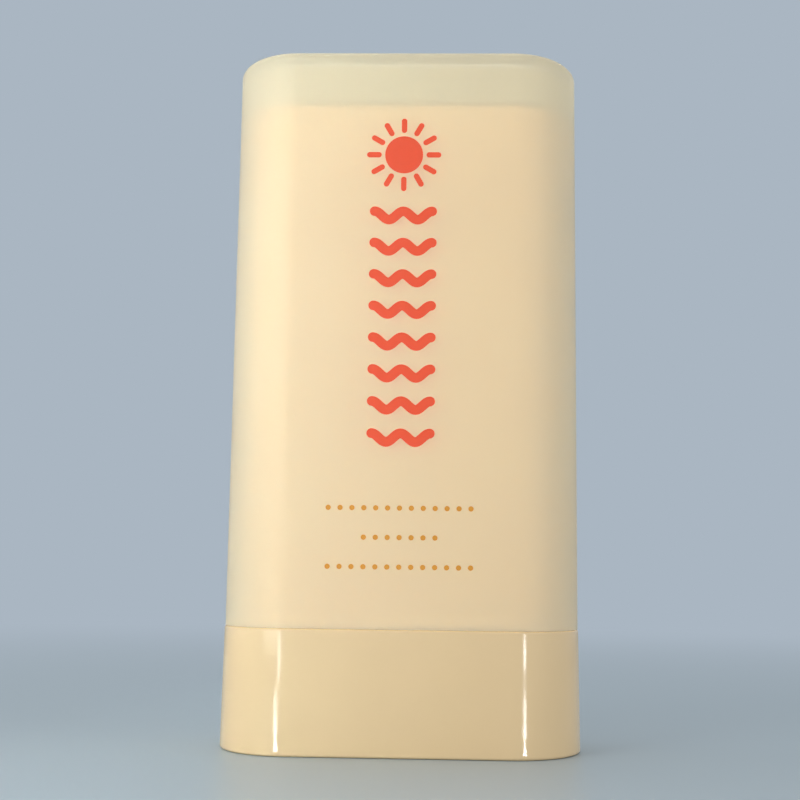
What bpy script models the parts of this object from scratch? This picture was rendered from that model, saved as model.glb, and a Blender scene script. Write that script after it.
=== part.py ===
"""A flat oval sunscreen stick: a frosted cap over a twist-up barrel of balm on a glossy base.

Frame: metres, +Z up, the wide front faces -Y, and the origin lies under the middle of the base.
Every section is a flat oval: a flat front and back with half-ellipse ends.
"""

import math

import bmesh
import bpy

MM = 0.001

# Outside form: the foot sets the section, and each level above it is drawn in by a small step a side
TOTAL_HEIGHT = 90.4 * MM
BASE_HEIGHT = 15.8 * MM
SEAM_GAP = 0.3 * MM
FOOT_WIDTH = 47.3 * MM
FOOT_DEPTH = 24.6 * MM
END_RUN = 9.55 * MM
BASE_SIDE_DRAFT = 0.3 * MM
BASE_FACE_DRAFT = 0.1 * MM
SEAM_STEP = 0.1 * MM
CAP_SIDE_DRAFT = 0.5 * MM
CAP_FACE_DRAFT = 0.2 * MM

# Gap between neighbours that touch on the real object
FIT_GAP = 0.3 * MM

# Cap
CAP_WALL = 1.1 * MM
CAP_ROOF = 1.3 * MM
CAP_CROWN_RADIUS = 0.9 * MM
CAP_RIM_RADIUS = 0.2 * MM
CAP_INNER_RADIUS = 0.6 * MM
CAP_CLEARANCE = 0.3 * MM
CAP_HEADROOM = 5.5 * MM

# Snap beads that hold the cap on the barrel
BEAD_CLEARANCE = 0.1 * MM
BEAD_LAND = 0.4 * MM
BEAD_SLOPE = 0.5 * MM
BEAD_RISE = 1.6 * MM
BEAD_SPACING = 1.6 * MM

# Base shell
BASE_WALL = 1.6 * MM
BASE_SHELF = 1.8 * MM
BASE_FOOT_RADIUS = 0.4 * MM
BASE_LIP_RADIUS = 0.3 * MM

# Barrel
BARREL_WALL = 1.3 * MM
BARREL_FLOOR = 1.4 * MM
BARREL_FLANGE = 1.3 * MM
BARREL_FLOOR_LIFT = 0.4 * MM
BARREL_RIM_RADIUS = 0.3 * MM
NECK_STEP = 0.8 * MM

# Inner lid
LID_WALL = 0.8 * MM
LID_PLUG = 1.5 * MM
LID_DOME = 1.2 * MM

# Balm
BALM_RECESS = 2.0 * MM
BALM_DOME = 4.4 * MM
BALM_CORE_INSET = 1.3 * MM

# Carrier
CUP_WALL = 1.0 * MM
CUP_RIM = 3.0 * MM
CUP_PLATE = 1.6 * MM
CUP_WEB = 1.3 * MM
STEM_WALL = 1.3 * MM
STEM_LIFT = 1.7 * MM
NUT_LENGTH = 4.0 * MM
BORE_PLAY = 0.5 * MM

# Drive thread, left-handed so that a clockwise turn seen from below lifts the balm
THREAD_LEAD = 2.8 * MM
THREAD_TURNS = 10
THREAD_SENSE = -1
THREAD_ROOT = 2.4 * MM
THREAD_CREST = 3.2 * MM
THREAD_LAND = 0.7 * MM
THREAD_FLANK = 0.35 * MM
THREAD_PLAY = 0.3 * MM
NUT_PLAY = 0.35 * MM
THREAD_RUNOUT = 0.4 * MM

# Spindle below the thread
NECK_CLEARANCE = 0.3 * MM
SNAP_HEIGHT = 0.6 * MM
SNAP_GRIP = 0.25 * MM
COLLAR_RADIUS = 5.0 * MM
COLLAR_THICKNESS = 1.0 * MM
DRIVE_SIDE = 3.6 * MM
TIP_CHAMFER = 0.5 * MM

# Friction ring
RING_SECTION = 1.4 * MM

# Dial
DIAL_RECESS = 0.5 * MM
DIAL_EDGE = 0.4 * MM
DIAL_BODY = 6.0 * MM
DIAL_FLANGE_REACH = 1.4 * MM
DIAL_FLANGE = 1.2 * MM
DIAL_BOSS_RADIUS = 4.5 * MM
DIAL_RIM_WALL = 1.2 * MM
DIAL_WEB = 1.9 * MM
SCOOP_DEPTH = 4.6 * MM
SCOOP_DRAFT = 0.3 * MM
GRIP_BAR = 3.0 * MM

# Base plate
PLATE_THICKNESS = 2.4 * MM
PLATE_WALL = 1.2 * MM
PLATE_BRIDGE = 1.4 * MM
PLATE_FOOT_RADIUS = 0.3 * MM
PLATE_WALL_REACH = 12.4 * MM

# One overrun for every cut, and the fineness of curves
OVERRUN = 1.0 * MM
MERGE = 0.01 * MM
ARC_STEPS = 8
FILLET_STEPS = 4
ROUND_STEPS = 32
THREAD_STEPS = 24
DOME_SHARES = (1.0, 0.985, 0.93, 0.82, 0.66, 0.44, 0.2)
DOME_POWER = 2.4
SHARP_ANGLE = math.radians(35)

# Heights worked out from the sizes above
CAP_MOUTH_Z = BASE_HEIGHT + SEAM_GAP
CAP_CEILING_Z = TOTAL_HEIGHT - CAP_ROOF
BARREL_TOP_Z = CAP_CEILING_Z - CAP_HEADROOM
SHELF_Z = BASE_HEIGHT - BASE_SHELF
FLANGE_TOP_Z = SHELF_Z - FIT_GAP
FLANGE_FOOT_Z = FLANGE_TOP_Z - BARREL_FLANGE
FLOOR_FOOT_Z = FLANGE_TOP_Z + BARREL_FLOOR_LIFT
FLOOR_TOP_Z = FLOOR_FOOT_Z + BARREL_FLOOR
SHOULDER_Z = BASE_HEIGHT + FIT_GAP
WELL_STEP_Z = SHOULDER_Z + BARREL_WALL
RING_TOP_Z = FLOOR_FOOT_Z - FIT_GAP
COLLAR_TOP_Z = RING_TOP_Z - RING_SECTION - FIT_GAP
COLLAR_FOOT_Z = COLLAR_TOP_Z - COLLAR_THICKNESS
SOCKET_TOP_Z = COLLAR_FOOT_Z - FIT_GAP
SOCKET_FOOT_Z = DIAL_RECESS + SCOOP_DEPTH + DIAL_WEB
DRIVE_FOOT_Z = SOCKET_FOOT_Z + FIT_GAP
SNAP_FOOT_Z = FLOOR_TOP_Z + FIT_GAP
SNAP_TOP_Z = SNAP_FOOT_Z + SNAP_HEIGHT
THREAD_FOOT_Z = SNAP_TOP_Z + THREAD_RUNOUT
STEM_FOOT_Z = FLOOR_TOP_Z + STEM_LIFT
NUT_TOP_Z = STEM_FOOT_Z + NUT_LENGTH
STROKE = THREAD_LEAD * THREAD_TURNS
THREAD_TOP_Z = NUT_TOP_Z + STROKE
SPINDLE_TOP_Z = THREAD_TOP_Z + TIP_CHAMFER
BORE_TOP_Z = SPINDLE_TOP_Z + BORE_PLAY
CUP_FLOOR_Z = BORE_TOP_Z + CUP_WEB
CUP_FOOT_Z = CUP_FLOOR_Z - CUP_PLATE
CUP_RIM_Z = CUP_FLOOR_Z + CUP_RIM
BALM_FOOT_Z = CUP_FLOOR_Z + FIT_GAP
BALM_TOP_Z = BARREL_TOP_Z - BALM_RECESS
LID_FLANGE_Z = BARREL_TOP_Z + FIT_GAP
CAP_BEAD_Z = CAP_MOUTH_Z + BEAD_RISE
BARREL_BEAD_Z = CAP_BEAD_Z + BEAD_SPACING

# Radii and sections worked out from the sizes above
FLAT_HALF = FOOT_WIDTH / 2 - END_RUN
LIP_WIDTH = FOOT_WIDTH - 2 * BASE_SIDE_DRAFT
LIP_DEPTH = FOOT_DEPTH - 2 * BASE_FACE_DRAFT
MOUTH_WIDTH = LIP_WIDTH - 2 * SEAM_STEP
MOUTH_DEPTH = LIP_DEPTH - 2 * SEAM_STEP
CROWN_WIDTH = MOUTH_WIDTH - 2 * CAP_SIDE_DRAFT
CROWN_DEPTH = MOUTH_DEPTH - 2 * CAP_FACE_DRAFT
BARREL_WIDTH = CROWN_WIDTH - 2 * CAP_WALL - 2 * CAP_CLEARANCE
BARREL_DEPTH = CROWN_DEPTH - 2 * CAP_WALL - 2 * CAP_CLEARANCE
MOUTH_SIDE_PLAY = (MOUTH_WIDTH - BARREL_WIDTH) / 2 - CAP_WALL
MOUTH_FACE_PLAY = (MOUTH_DEPTH - BARREL_DEPTH) / 2 - CAP_WALL
BEAD_REACH = (min(MOUTH_SIDE_PLAY, MOUTH_FACE_PLAY) - BEAD_CLEARANCE) / 2
NECK_HOLE_RADIUS = THREAD_ROOT + NECK_CLEARANCE
SNAP_RADIUS = NECK_HOLE_RADIUS + SNAP_GRIP
NUT_MINOR = THREAD_ROOT + NUT_PLAY
NUT_MAJOR = THREAD_CREST + THREAD_PLAY
BORE_RADIUS = NUT_MAJOR + THREAD_PLAY
STEM_RADIUS = BORE_RADIUS + STEM_WALL
RING_RADIUS = NECK_HOLE_RADIUS + RING_SECTION / 2
DIAL_HOLE_RADIUS = FOOT_DEPTH / 2 - BASE_WALL - FIT_GAP - PLATE_BRIDGE
DIAL_RADIUS = DIAL_HOLE_RADIUS - FIT_GAP
DIAL_FLANGE_RADIUS = DIAL_RADIUS + DIAL_FLANGE_REACH
DIAL_FLANGE_Z = PLATE_THICKNESS + FIT_GAP
DIAL_TOP_Z = DIAL_RECESS + DIAL_BODY
SCOOP_RADIUS = DIAL_RADIUS - DIAL_RIM_WALL


def clear_scene():
    for item in list(bpy.data.objects):
        bpy.data.objects.remove(item, do_unlink=True)


def new_collection(name):
    group = bpy.data.collections.new(name)
    bpy.context.scene.collection.children.link(group)
    return group


def material(name, colour, roughness, transmission=0.0):
    """A Principled material with a linear colour; metallic stays 0 on plastic, rubber and balm."""
    finish = bpy.data.materials.new(name)
    finish.use_nodes = True
    shader = finish.node_tree.nodes["Principled BSDF"]
    shader.inputs["Base Color"].default_value = (*colour, 1.0)
    shader.inputs["Roughness"].default_value = roughness
    shader.inputs["Metallic"].default_value = 0.0
    shader.inputs["Transmission Weight"].default_value = transmission
    finish.diffuse_color = (*colour, 1.0)
    return finish


def link(mesh, name, group, finish=None):
    piece = bpy.data.objects.new(name, mesh)
    group.objects.link(piece)
    if finish:
        mesh.materials.append(finish)
    mesh.shade_smooth()
    mesh.set_sharp_from_angle(angle=SHARP_ANGLE)
    return piece


def as_cutter(piece):
    piece.hide_render = True
    piece.display_type = "WIRE"
    return piece


def boolean(piece, operation, tool):
    step = piece.modifiers.new(tool.name, "BOOLEAN")
    step.operation = operation
    step.object = tool
    step.solver = "EXACT"


def blend_between(low, high, share):
    return low + (high - low) * share


def oval(width, depth, z, inset=0, share=1):
    """One flat oval ring, drawn in by an inset and then scaled by a share of its size."""
    end = width / 2 - inset - FLAT_HALF
    half_depth = depth / 2 - inset
    points = []
    for side in (1, -1):
        for step in range(2 * ARC_STEPS + 1):
            angle = math.pi / 2 * (step / ARC_STEPS - 1)
            x = side * (FLAT_HALF + end * math.cos(angle))
            y = side * half_depth * math.sin(angle)
            points.append((x * share, y * share, z))
    return points


def circle(radius, z):
    """A round ring with as many points as an oval, so that the two can be joined by a loft."""
    count = 2 * (2 * ARC_STEPS + 1)
    points = []
    for step in range(count):
        angle = 2 * math.pi * (step + 0.5) / count - math.pi / 2
        points.append((radius * math.cos(angle), radius * math.sin(angle), z))
    return points


def base_ring(z, inset=0):
    share = z / BASE_HEIGHT
    width = blend_between(FOOT_WIDTH, LIP_WIDTH, share)
    depth = blend_between(FOOT_DEPTH, LIP_DEPTH, share)
    return oval(width, depth, z, inset)


def cap_ring(z, inset=0):
    share = (z - CAP_MOUTH_Z) / (TOTAL_HEIGHT - CAP_MOUTH_Z)
    width = blend_between(MOUTH_WIDTH, CROWN_WIDTH, share)
    depth = blend_between(MOUTH_DEPTH, CROWN_DEPTH, share)
    return oval(width, depth, z, inset)


def barrel_ring(z, inset=0):
    return oval(BARREL_WIDTH, BARREL_DEPTH, z, inset)


def neck_ring(z, inset=0):
    """The barrel's narrower neck, which stands in the base's shelf."""
    return barrel_ring(z, NECK_STEP + inset)


def fillet(ring, z, inset, radius, rise, turn_in):
    """Rings round a quarter arc of the wall's edge.

    ring: the section function; (inset, z) is the sharp corner that the arc replaces.
    rise: 1 where the wall runs up to the corner and -1 where it runs down to it.
    turn_in: 1 where the arc leaves the wall towards a larger inset, -1 towards a smaller one.
    """
    rings = []
    for step in range(FILLET_STEPS + 1):
        angle = math.pi / 2 * step / FILLET_STEPS
        along = z - rise * radius * (1 - math.sin(angle))
        across = inset + turn_in * radius * (1 - math.cos(angle))
        rings.append(ring(along, across))
    return rings


def bead(ring, z, inset, reach):
    """Rings over a snap bead about height z, from its upper slope to its lower one."""
    land = BEAD_LAND / 2
    return [
        ring(z + land + BEAD_SLOPE, inset),
        ring(z + land, inset + reach),
        ring(z - land, inset + reach),
        ring(z - land - BEAD_SLOPE, inset),
    ]


def loft(name, rings, group, finish=None, closed=False):
    """Skin a stack of rings; a closed stack runs back to its first ring, an open one is capped."""
    form = bmesh.new()
    loops = [[form.verts.new(point) for point in ring] for ring in rings]
    pairs = list(zip(loops, loops[1:]))
    if closed:
        pairs.append((loops[-1], loops[0]))
    for lower, upper in pairs:
        for here in range(len(lower)):
            after = (here + 1) % len(lower)
            form.faces.new((lower[here], lower[after], upper[after], upper[here]))
    if not closed:
        form.faces.new(list(reversed(loops[0])))
        form.faces.new(loops[-1])
    bmesh.ops.recalc_face_normals(form, faces=form.faces)
    mesh = bpy.data.meshes.new(name)
    form.to_mesh(mesh)
    form.free()
    return link(mesh, name, group, finish)


def turned(name, profile, group, finish=None):
    """A round piece: a profile of (radius, height) from the top to the bottom, turned about Z."""
    points = [(radius, 0, z) for radius, z in profile]
    edges = [(here, here + 1) for here in range(len(points) - 1)]
    mesh = bpy.data.meshes.new(name)
    mesh.from_pydata(points, edges, [])
    piece = link(mesh, name, group, finish)
    turn = piece.modifiers.new("turn", "SCREW")
    turn.axis = "Z"
    turn.steps = ROUND_STEPS
    turn.render_steps = ROUND_STEPS
    turn.use_merge_vertices = True
    turn.merge_threshold = MERGE
    turn.use_smooth_shade = True
    return piece


def block(name, size, centre, group):
    """A box cutter of a given size about its centre."""
    form = bmesh.new()
    bmesh.ops.create_cube(form, size=1)
    bmesh.ops.scale(form, vec=size, verts=form.verts)
    bmesh.ops.translate(form, vec=centre, verts=form.verts)
    mesh = bpy.data.meshes.new(name)
    form.to_mesh(mesh)
    form.free()
    return as_cutter(link(mesh, name, group))


def rod(name, radius, low, high, group):
    """A round cutter that stands on the Z axis."""
    form = bmesh.new()
    bmesh.ops.create_cone(
        form, cap_ends=True, segments=ROUND_STEPS, radius1=radius, radius2=radius, depth=high - low
    )
    bmesh.ops.translate(form, vec=(0, 0, (low + high) / 2), verts=form.verts)
    mesh = bpy.data.meshes.new(name)
    form.to_mesh(mesh)
    form.free()
    return as_cutter(link(mesh, name, group))


def threaded(name, below, low, high, above, root, crest, land, group, finish=None):
    """A threaded rod about Z: plain rings below, a helical tooth from low to high, plain rings above.

    The tooth's rows follow the helix; where a row runs past an end it closes into that end's ring.
    below and above are lists of (radius, height) from the thread outwards.
    """
    offsets = (-land / 2 - THREAD_FLANK, -land / 2, land / 2, land / 2 + THREAD_FLANK)
    radii = (root, crest, crest, root)
    rows_per_turn = len(offsets)
    form = bmesh.new()

    def spin(radius, z, step):
        angle = 2 * math.pi * step / THREAD_STEPS
        return form.verts.new((radius * math.cos(angle), radius * math.sin(angle), z))

    def plain_ring(radius, z):
        return [spin(radius, z, step) for step in range(THREAD_STEPS)]

    foot = plain_ring(root, low)
    head = plain_ring(root, high)
    made = {}

    def helix_vertex(row, step):
        if step == THREAD_STEPS:
            row, step = row + THREAD_SENSE * rows_per_turn, 0
        turn, place = divmod(row, rows_per_turn)
        climb = turn + THREAD_SENSE * step / THREAD_STEPS
        z = STEM_FOOT_Z + THREAD_LEAD * climb + offsets[place]
        if z <= low:
            return foot[step]
        if z >= high:
            return head[step]
        if (row, step) not in made:
            made[row, step] = spin(radii[place], z, step)
        return made[row, step]

    first = rows_per_turn * (math.floor((low - STEM_FOOT_Z) / THREAD_LEAD) - 2)
    last = rows_per_turn * (math.ceil((high - STEM_FOOT_Z) / THREAD_LEAD) + 2)
    for row in range(first, last):
        for step in range(THREAD_STEPS):
            corners = (
                helix_vertex(row, step),
                helix_vertex(row, step + 1),
                helix_vertex(row + 1, step + 1),
                helix_vertex(row + 1, step),
            )
            face = list(dict.fromkeys(corners))
            if len(face) > 2:
                form.faces.new(face)

    for start, rings in ((foot, below), (head, above)):
        previous = start
        for radius, z in rings:
            ring = plain_ring(radius, z)
            for here in range(THREAD_STEPS):
                after = (here + 1) % THREAD_STEPS
                form.faces.new((previous[here], previous[after], ring[after], ring[here]))
            previous = ring
        form.faces.new(previous)
    bmesh.ops.recalc_face_normals(form, faces=form.faces)
    mesh = bpy.data.meshes.new(name)
    form.to_mesh(mesh)
    form.free()
    return link(mesh, name, group, finish)


def dome(width, depth, inset, foot, rise):
    """Rings that close a flat oval with a low dome."""
    rings = []
    for share in DOME_SHARES:
        height = rise * (1 - share ** DOME_POWER) ** (1 / DOME_POWER)
        rings.append(oval(width, depth, foot + height, inset, share))
    return rings


def make_overcap(parts, finish):
    """Frosted cap: a flat oval cup, open at the bottom, with a snap bead round the inside of its mouth."""
    rings = list(reversed(fillet(cap_ring, CAP_CEILING_Z, CAP_WALL, CAP_INNER_RADIUS, 1, 1)))
    rings += bead(cap_ring, CAP_BEAD_Z, CAP_WALL, BEAD_REACH)
    rings += [
        cap_ring(CAP_MOUTH_Z, CAP_WALL),
        cap_ring(CAP_MOUTH_Z, CAP_RIM_RADIUS),
        cap_ring(CAP_MOUTH_Z + CAP_RIM_RADIUS, 0),
    ]
    rings += fillet(cap_ring, TOTAL_HEIGHT, 0, CAP_CROWN_RADIUS, 1, 1)
    loft("overcap", rings, parts, finish)


def make_inner_lid(parts, finish):
    """Thin lid on the barrel's rim, with a plug inside its mouth and a low crown over the balm."""
    plug_inset = BARREL_WALL + FIT_GAP
    plug_foot = BARREL_TOP_Z - LID_PLUG
    flange_top = LID_FLANGE_Z + LID_WALL
    hollow = dome(BARREL_WIDTH, BARREL_DEPTH, plug_inset + LID_WALL, LID_FLANGE_Z, LID_DOME)
    crown = dome(BARREL_WIDTH, BARREL_DEPTH, plug_inset, flange_top, LID_DOME)
    rings = list(reversed(hollow))
    rings += [
        barrel_ring(plug_foot, plug_inset + LID_WALL),
        barrel_ring(plug_foot, plug_inset),
        barrel_ring(LID_FLANGE_Z, plug_inset),
        barrel_ring(LID_FLANGE_Z, 0),
        barrel_ring(flange_top, 0),
    ]
    rings += crown
    loft("inner_lid", rings, parts, finish)


def make_balm(parts, finish):
    """Block of balm: its foot sits in the carrier's cup, its top is a low dome under the barrel's rim."""
    side_inset = BARREL_WALL + FIT_GAP
    core_inset = side_inset + BALM_CORE_INSET
    shoulder = CUP_RIM_Z + FIT_GAP
    rings = [
        barrel_ring(BALM_FOOT_Z, core_inset),
        barrel_ring(shoulder, core_inset),
        barrel_ring(shoulder, side_inset),
    ]
    rings += dome(BARREL_WIDTH, BARREL_DEPTH, side_inset, BALM_TOP_Z - BALM_DOME, BALM_DOME)
    loft("balm", rings, parts, finish)


def make_carrier(parts, cutters, finish):
    """Elevator cup on a hollow stem, whose lower end is the nut that climbs the spindle."""
    cup_inset = BARREL_WALL + FIT_GAP
    rings = [
        barrel_ring(CUP_FLOOR_Z, cup_inset + CUP_WALL),
        barrel_ring(CUP_RIM_Z, cup_inset + CUP_WALL),
        barrel_ring(CUP_RIM_Z, cup_inset),
        barrel_ring(CUP_FOOT_Z, cup_inset),
        circle(STEM_RADIUS, CUP_FOOT_Z),
        circle(STEM_RADIUS, STEM_FOOT_Z),
    ]
    carrier = loft("carrier", rings, parts, finish)
    low = STEM_FOOT_Z - OVERRUN
    high = NUT_TOP_Z + OVERRUN
    below = [(NUT_MINOR, low - OVERRUN)]
    above = [(NUT_MINOR, high + OVERRUN)]
    land = THREAD_LAND + 2 * THREAD_PLAY
    thread = threaded("nut_thread_cut", below, low, high, above, NUT_MINOR, NUT_MAJOR, land, cutters)
    bore = rod("stem_bore_cut", BORE_RADIUS, NUT_TOP_Z, BORE_TOP_Z, cutters)
    boolean(carrier, "DIFFERENCE", as_cutter(thread))
    boolean(carrier, "DIFFERENCE", bore)


def make_barrel(parts, cutters, finish):
    """Inner body: an oval tube whose shoulder sits on the base, with a neck and a flange through its shelf."""
    flange_inset = BASE_WALL + FIT_GAP
    rings = [
        neck_ring(FLOOR_TOP_Z, BARREL_WALL),
        neck_ring(WELL_STEP_Z, BARREL_WALL),
        barrel_ring(WELL_STEP_Z, BARREL_WALL),
        barrel_ring(BARREL_TOP_Z, BARREL_WALL),
    ]
    rings += list(reversed(fillet(barrel_ring, BARREL_TOP_Z, 0, BARREL_RIM_RADIUS, 1, 1)))
    rings += bead(barrel_ring, BARREL_BEAD_Z, 0, -BEAD_REACH)
    rings += [
        barrel_ring(SHOULDER_Z, 0),
        neck_ring(SHOULDER_Z, 0),
        neck_ring(FLANGE_TOP_Z, 0),
        base_ring(FLANGE_TOP_Z, flange_inset),
        base_ring(FLANGE_FOOT_Z, flange_inset),
        neck_ring(FLANGE_FOOT_Z, BARREL_WALL),
        neck_ring(FLOOR_FOOT_Z, BARREL_WALL),
    ]
    barrel = loft("barrel", rings, parts, finish)
    hole = rod("neck_hole_cut", NECK_HOLE_RADIUS, FLOOR_FOOT_Z - OVERRUN, FLOOR_TOP_Z + OVERRUN, cutters)
    boolean(barrel, "DIFFERENCE", hole)


def make_spindle(parts, cutters, finish):
    """Drive screw: square drive, collar, neck through the barrel's floor, snap bead and thread."""
    below = [
        (THREAD_ROOT, SNAP_TOP_Z),
        (SNAP_RADIUS, SNAP_FOOT_Z + SNAP_HEIGHT / 2),
        (SNAP_RADIUS, SNAP_FOOT_Z),
        (THREAD_ROOT, SNAP_FOOT_Z),
        (THREAD_ROOT, COLLAR_TOP_Z),
        (COLLAR_RADIUS, COLLAR_TOP_Z),
        (COLLAR_RADIUS, COLLAR_FOOT_Z),
    ]
    above = [(THREAD_ROOT - TIP_CHAMFER, SPINDLE_TOP_Z)]
    spindle = threaded(
        "spindle", below, THREAD_FOOT_Z, THREAD_TOP_Z, above,
        THREAD_ROOT, THREAD_CREST, THREAD_LAND, parts, finish,
    )
    drive_top = COLLAR_FOOT_Z + COLLAR_THICKNESS / 2
    size = (DRIVE_SIDE, DRIVE_SIDE, drive_top - DRIVE_FOOT_Z)
    drive = block("square_drive", size, (0, 0, (drive_top + DRIVE_FOOT_Z) / 2), cutters)
    boolean(spindle, "UNION", drive)


def make_friction_ring(parts, finish):
    """Rubber ring round the spindle's neck, between its collar and the barrel's floor."""
    bpy.ops.mesh.primitive_torus_add(
        major_radius=RING_RADIUS, minor_radius=RING_SECTION / 2,
        major_segments=ROUND_STEPS, minor_segments=ARC_STEPS,
        location=(0, 0, RING_TOP_Z - RING_SECTION / 2),
    )
    ring = bpy.context.object
    ring.name = "friction_ring"
    for group in list(ring.users_collection):
        group.objects.unlink(ring)
    parts.objects.link(ring)
    ring.data.materials.append(finish)
    ring.data.shade_smooth()


def scoop_ring(side, z, shrink):
    """A half moon beside the grip bar: an arc inside the dial's rim, closed by the bar's face."""
    radius = SCOOP_RADIUS - shrink
    chord = GRIP_BAR / 2 + shrink
    start = math.asin(chord / radius)
    points = []
    for step in range(2 * ARC_STEPS + 1):
        angle = blend_between(start, math.pi - start, step / (2 * ARC_STEPS))
        points.append((radius * math.cos(angle), side * radius * math.sin(angle), z))
    return points


def make_dial(parts, cutters, finish):
    """Twist dial: a flanged drum with two finger scoops below and a square socket above."""
    profile = [
        (0, SOCKET_TOP_Z),
        (DIAL_BOSS_RADIUS, SOCKET_TOP_Z),
        (DIAL_BOSS_RADIUS, DIAL_TOP_Z),
        (DIAL_RADIUS, DIAL_TOP_Z),
        (DIAL_RADIUS, DIAL_FLANGE_Z + DIAL_FLANGE),
        (DIAL_FLANGE_RADIUS, DIAL_FLANGE_Z + DIAL_FLANGE),
        (DIAL_FLANGE_RADIUS, DIAL_FLANGE_Z),
        (DIAL_RADIUS, DIAL_FLANGE_Z),
        (DIAL_RADIUS, DIAL_RECESS + DIAL_EDGE),
        (DIAL_RADIUS - DIAL_EDGE, DIAL_RECESS),
        (0, DIAL_RECESS),
    ]
    dial = turned("dial", profile, parts, finish)
    socket_side = DRIVE_SIDE + 2 * FIT_GAP
    socket_top = SOCKET_TOP_Z + OVERRUN
    size = (socket_side, socket_side, socket_top - SOCKET_FOOT_Z)
    centre = (0, 0, (socket_top + SOCKET_FOOT_Z) / 2)
    boolean(dial, "DIFFERENCE", block("socket_cut", size, centre, cutters))
    for side, name in ((1, "scoop_back_cut"), (-1, "scoop_front_cut")):
        rings = [
            scoop_ring(side, DIAL_RECESS - OVERRUN, 0),
            scoop_ring(side, DIAL_RECESS, 0),
            scoop_ring(side, DIAL_RECESS + SCOOP_DEPTH, SCOOP_DRAFT),
        ]
        boolean(dial, "DIFFERENCE", as_cutter(loft(name, rings, cutters)))


def make_base_shell(parts, finish):
    """Glossy collar: an oval skirt, open below, with a shelf that the barrel's neck stands through."""
    rings = list(reversed(fillet(base_ring, 0, 0, BASE_FOOT_RADIUS, -1, 1)))
    rings += fillet(base_ring, BASE_HEIGHT, 0, BASE_LIP_RADIUS, 1, 1)
    rings += [
        neck_ring(BASE_HEIGHT, -FIT_GAP),
        neck_ring(SHELF_Z, -FIT_GAP),
        base_ring(SHELF_Z, BASE_WALL),
        base_ring(0, BASE_WALL),
    ]
    loft("base_shell", rings, parts, finish, closed=True)


def make_base_plate(parts, cutters, finish):
    """Bottom plate with the dial's hole; its two end walls hold the barrel's flange up to the shelf."""
    outer = BASE_WALL + FIT_GAP
    wall_top = FLANGE_FOOT_Z - FIT_GAP
    rings = [
        base_ring(PLATE_THICKNESS, outer + PLATE_WALL),
        base_ring(wall_top, outer + PLATE_WALL),
        base_ring(wall_top, outer),
        base_ring(PLATE_FOOT_RADIUS, outer),
        base_ring(0, outer + PLATE_FOOT_RADIUS),
    ]
    plate = loft("base_plate", rings, parts, finish)
    size = (2 * PLATE_WALL_REACH, FOOT_DEPTH + 2 * OVERRUN, wall_top - PLATE_THICKNESS + OVERRUN)
    centre = (0, 0, (PLATE_THICKNESS + wall_top + OVERRUN) / 2)
    boolean(plate, "DIFFERENCE", block("wall_gap_cut", size, centre, cutters))
    hole = rod("dial_hole_cut", DIAL_HOLE_RADIUS, -OVERRUN, PLATE_THICKNESS + OVERRUN, cutters)
    boolean(plate, "DIFFERENCE", hole)


def build():
    clear_scene()
    parts = new_collection("sunscreen_stick")
    cutters = new_collection("cutters")
    frosted = material("frosted_cream", (0.86, 0.76, 0.55), 0.42, transmission=0.6)
    milky = material("milky_lid", (0.88, 0.86, 0.78), 0.35, transmission=0.4)
    gloss = material("cream_gloss", (0.82, 0.66, 0.42), 0.16)
    satin = material("cream_satin", (0.90, 0.74, 0.50), 0.35)
    white = material("white_nylon", (0.85, 0.84, 0.80), 0.45)
    balm_finish = material("balm", (0.93, 0.89, 0.76), 0.5)
    rubber = material("ring_rubber", (0.75, 0.73, 0.68), 0.6)
    make_overcap(parts, frosted)
    make_inner_lid(parts, milky)
    make_balm(parts, balm_finish)
    make_carrier(parts, cutters, white)
    make_barrel(parts, cutters, satin)
    make_spindle(parts, cutters, white)
    make_friction_ring(parts, rubber)
    make_dial(parts, cutters, gloss)
    make_base_shell(parts, gloss)
    make_base_plate(parts, cutters, gloss)


build()
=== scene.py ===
"""Looks of the flat oval sunscreen stick: fine surfaces, finishes, camera, floor and soft light.

Lengths are in metres, in the frame's own axes: +Z up and the wide front faces -Y.
Every section is a flat oval: a flat front and back with half-ellipse ends.
"""

import math

import bmesh
import bpy
from mathutils import Matrix, Vector


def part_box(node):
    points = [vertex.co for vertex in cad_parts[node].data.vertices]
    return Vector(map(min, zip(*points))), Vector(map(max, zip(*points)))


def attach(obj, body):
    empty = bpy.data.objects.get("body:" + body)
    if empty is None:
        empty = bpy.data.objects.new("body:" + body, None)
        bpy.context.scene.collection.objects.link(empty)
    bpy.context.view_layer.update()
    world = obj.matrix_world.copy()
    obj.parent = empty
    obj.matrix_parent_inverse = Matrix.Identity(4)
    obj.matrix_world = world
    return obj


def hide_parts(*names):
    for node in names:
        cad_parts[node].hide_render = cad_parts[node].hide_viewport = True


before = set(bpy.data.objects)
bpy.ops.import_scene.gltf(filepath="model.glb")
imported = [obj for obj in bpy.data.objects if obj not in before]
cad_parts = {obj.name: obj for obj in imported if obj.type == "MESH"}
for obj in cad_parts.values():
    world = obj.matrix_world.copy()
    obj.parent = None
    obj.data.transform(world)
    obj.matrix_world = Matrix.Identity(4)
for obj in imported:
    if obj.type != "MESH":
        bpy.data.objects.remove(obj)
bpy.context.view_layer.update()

MM = 0.001


def extent(node):
    """Lowest corner, highest corner and size of one of the frame's solids."""
    low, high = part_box(node)
    return low, high, high - low


_, foot_high, foot_size = extent("base_shell")
cap_low, cap_high, cap_size = extent("overcap")
barrel_low, barrel_high, _ = extent("barrel")
_, _, lid_size = extent("inner_lid")
balm_low, balm_high, _ = extent("balm")
cup_low, cup_high, _ = extent("carrier")
screw_low, screw_high, screw_size = extent("spindle")
ring_low, ring_high, ring_size = extent("friction_ring")
dial_low, dial_high, dial_size = extent("dial")
_, plate_high, _ = extent("base_plate")

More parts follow.
